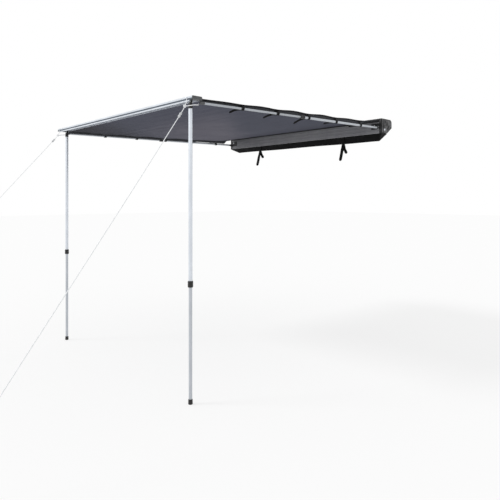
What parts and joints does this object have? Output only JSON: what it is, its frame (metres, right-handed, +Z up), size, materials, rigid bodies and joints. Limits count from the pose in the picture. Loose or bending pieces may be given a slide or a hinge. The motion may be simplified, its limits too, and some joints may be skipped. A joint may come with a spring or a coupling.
{
  "type": "vehicle side awning",
  "caption": "Pull-out side awning for a roof rack: back board, swing-out arms, front rail with fold-in telescopic legs, strapped canopy and guy ropes.",
  "frame": {"origin": "on the flat back face of the back board, at the middle of its length and of the rack fixing height", "axes": "+Y away from the front rail, square to the board's back face; +X along the board towards the picture's near end; +Z up"},
  "size_m": [2.808, 4.2538, 2.4287],
  "materials": {
    "aluminium": "satin",
    "dark_aluminium": "satin",
    "steel": "satin",
    "black_steel": "satin",
    "black_plastic": "matte",
    "grey_plastic": "matte",
    "canopy_cloth": "matte",
    "bag_cloth": "matte",
    "webbing": "matte",
    "rope": "matte"
  },
  "bodies": {
    "case": {"back_board": "dark_aluminium", "case_cap_right": "grey_plastic", "case_cap_left": "grey_plastic", "case_cover": "bag_cloth", "bag_flap": "bag_cloth", "bag_strap_right": "webbing", "bag_strap_left": "webbing", "mount_bracket_right": "black_steel", "mount_bracket_left": "black_steel", "cap_bolt_right": "steel", "cap_bolt_left": "steel", "canopy": "canopy_cloth", "edge_strap_right_1": "webbing", "edge_strap_right_2": "webbing", "edge_strap_right_3": "webbing", "edge_strap_right_4": "webbing", "edge_strap_right_5": "webbing", "edge_strap_left_1": "webbing", "edge_strap_left_2": "webbing", "edge_strap_left_3": "webbing", "edge_strap_left_4": "webbing", "edge_strap_left_5": "webbing", "arm_bracket_right": "black_steel", "arm_bracket_left": "black_steel", "arm_pivot_pin_right": "steel", "arm_pivot_pin_left": "steel"},
    "arm_right": {"arm_knuckle_right": "black_plastic", "arm_outer_tube_right": "aluminium"},
    "arm_left": {"arm_knuckle_left": "black_plastic", "arm_outer_tube_left": "aluminium"},
    "arm_twist_right": {"arm_collar_right": "black_plastic"},
    "arm_twist_left": {"arm_collar_left": "black_plastic"},
    "arm_inner_right": {"arm_inner_tube_right": "aluminium", "arm_tip_right": "black_plastic"},
    "arm_inner_left": {"arm_inner_tube_left": "aluminium", "arm_tip_left": "black_plastic"},
    "rail": {"front_rail": "aluminium", "rail_cap_right": "grey_plastic", "rail_cap_left": "grey_plastic", "leg_clevis_right": "steel", "leg_clevis_left": "steel", "leg_pivot_pin_right": "steel", "leg_pivot_pin_left": "steel", "guy_rope_right": "rope", "guy_rope_left": "rope", "rope_tensioner_right": "grey_plastic", "rope_tensioner_left": "grey_plastic", "ground_peg_right": "steel", "ground_peg_left": "steel"},
    "leg_right": {"leg_knuckle_right": "black_plastic", "leg_outer_tube_right": "aluminium"},
    "leg_left": {"leg_knuckle_left": "black_plastic", "leg_outer_tube_left": "aluminium"},
    "leg_twist_right": {"leg_collar_right": "black_plastic"},
    "leg_twist_left": {"leg_collar_left": "black_plastic"},
    "leg_inner_right": {"leg_inner_tube_right": "aluminium", "leg_foot_right": "black_plastic"},
    "leg_inner_left": {"leg_inner_tube_left": "aluminium", "leg_foot_left": "black_plastic"}
  },
  "joints": [
    {"name": "rail_roll_in", "type": "slide", "parent": "case", "child": "rail", "axis": [0, 0.9998, 0.0194], "range_m": [0, 2.12], "deforming": ["canopy", "edge_strap_right_1", "edge_strap_right_2", "edge_strap_right_3", "edge_strap_right_4", "edge_strap_right_5", "edge_strap_left_1", "edge_strap_left_2", "edge_strap_left_3", "edge_strap_left_4", "edge_strap_left_5"]},
    {"name": "arm_swing_right", "type": "hinge", "parent": "case", "child": "arm_right", "pos_m": [1.127, -0.045, -0.01], "axis": [0, 0, -1], "range_deg": [0, 87]},
    {"name": "arm_swing_left", "type": "hinge", "parent": "case", "child": "arm_left", "pos_m": [-1.127, -0.045, -0.01], "axis": [0, 0, 1], "range_deg": [0, 90]},
    {"name": "arm_slide_right", "type": "slide", "parent": "arm_right", "child": "arm_inner_right", "axis": [0, 0.9998, 0.0194], "range_m": [0, 0.99]},
    {"name": "arm_slide_left", "type": "slide", "parent": "arm_left", "child": "arm_inner_left", "axis": [0, 0.9998, 0.0194], "range_m": [0, 0.92]},
    {"name": "arm_collar_twist_right", "type": "hinge", "parent": "arm_right", "child": "arm_twist_right", "pos_m": [1.127, -0.045, -0.01], "axis": [0, -0.9998, -0.0194], "range_deg": [0, 90]},
    {"name": "arm_collar_twist_left", "type": "hinge", "parent": "arm_left", "child": "arm_twist_left", "pos_m": [-1.127, -0.045, -0.01], "axis": [0, -0.9998, -0.0194], "range_deg": [0, 90]},
    {"name": "leg_swing_right", "type": "hinge", "parent": "rail", "child": "leg_right", "pos_m": [1.087, -2.339, -0.038], "axis": [0, 1, 0], "range_deg": [0, 90]},
    {"name": "leg_swing_left", "type": "hinge", "parent": "rail", "child": "leg_left", "pos_m": [-1.056, -2.305, -0.038], "axis": [0, -1, 0], "range_deg": [0, 90]},
    {"name": "leg_slide_right", "type": "slide", "parent": "leg_right", "child": "leg_inner_right", "axis": [0, 0, 1], "range_m": [0, 0.75]},
    {"name": "leg_slide_left", "type": "slide", "parent": "leg_left", "child": "leg_inner_left", "axis": [0, 0, 1], "range_m": [0, 0.8]},
    {"name": "leg_collar_twist_right", "type": "hinge", "parent": "leg_right", "child": "leg_twist_right", "pos_m": [1.087, -2.339, -1.315], "axis": [0, 0, 1], "range_deg": [0, 90]},
    {"name": "leg_collar_twist_left", "type": "hinge", "parent": "leg_left", "child": "leg_twist_left", "pos_m": [-1.056, -2.305, -1.258], "axis": [0, 0, 1], "range_deg": [0, 90]}
  ]
}
